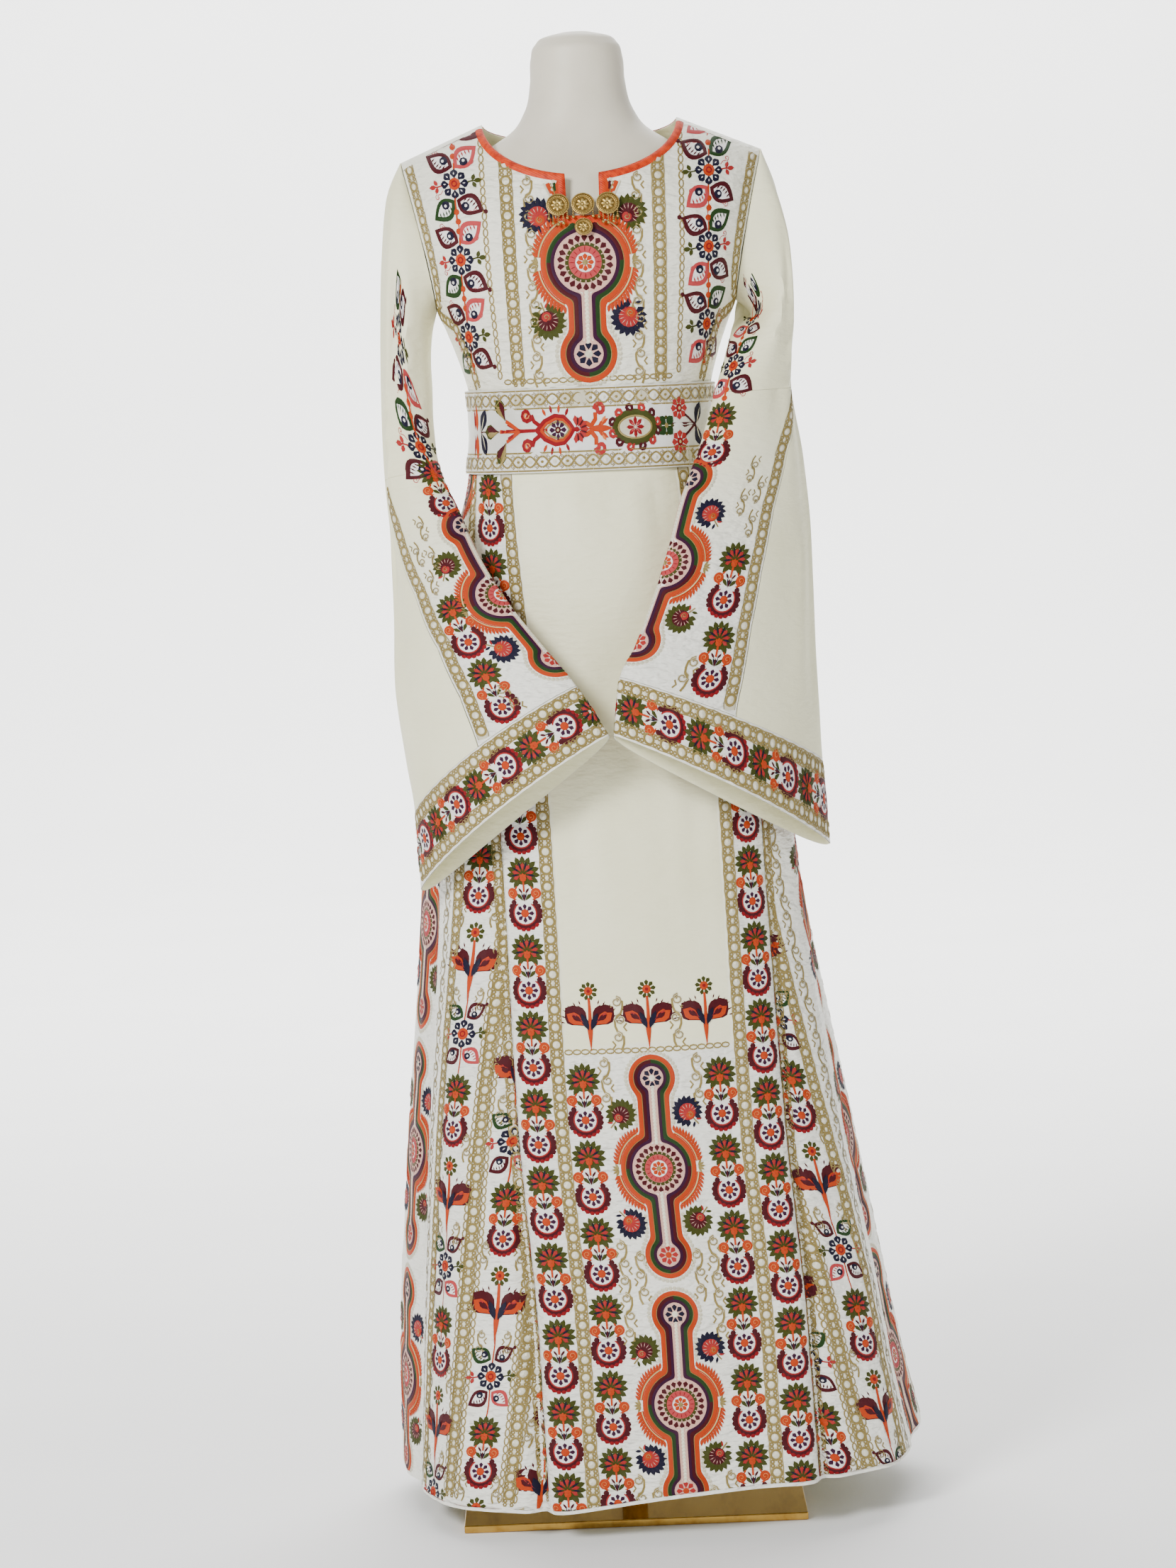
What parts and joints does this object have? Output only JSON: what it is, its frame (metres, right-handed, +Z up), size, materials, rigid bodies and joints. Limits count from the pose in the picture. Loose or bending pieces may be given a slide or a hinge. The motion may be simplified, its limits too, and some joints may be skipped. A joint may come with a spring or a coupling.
{
  "type": "palestinian thobe dress on a limbless dress form",
  "caption": "Ankle-length embroidered thobe with bell sleeves pinned in front and a wide satin belt, worn by a smooth limbless dress form on a gold plate.",
  "frame": {"origin": "on the floor under the middle of the whole object's box", "axes": "+Z up along the pole, -Y to the front of the dress, +X to the viewer's right"},
  "size_m": [0.5648, 0.4572, 1.556],
  "materials": {
    "ivory_cloth": "plain ivory crepe, soft sheen",
    "embroidered_cloth": "off-white cloth covered with coloured and gold thread",
    "orange_binding": "orange satin binding",
    "belt_satin": "white satin with lace borders and embroidery",
    "gold_coin": "stamped brass-coloured coins",
    "form_skin": "smooth off-white shell",
    "gold_mirror": "mirror-polished gold"
  },
  "bodies": {
    "root": {"bodice_front": "embroidered_cloth", "bodice_back": "embroidered_cloth", "neck_binding_front": "orange_binding", "neck_binding_back": "orange_binding", "skirt_front": "embroidered_cloth", "skirt_gore_left": "embroidered_cloth", "skirt_gore_right": "embroidered_cloth", "skirt_back": "embroidered_cloth", "sleeve_left": "ivory_cloth", "sleeve_right": "ivory_cloth", "insert_left": "embroidered_cloth", "insert_right": "embroidered_cloth", "cuff_left": "embroidered_cloth", "cuff_right": "embroidered_cloth", "belt": "belt_satin", "coin_left": "gold_coin", "coin_middle": "gold_coin", "coin_right": "gold_coin", "coin_drop": "gold_coin", "base_plate": "gold_mirror", "pole_flange": "gold_mirror", "form_pole": "gold_mirror", "form_torso": "form_skin"}
  },
  "joints": []
}
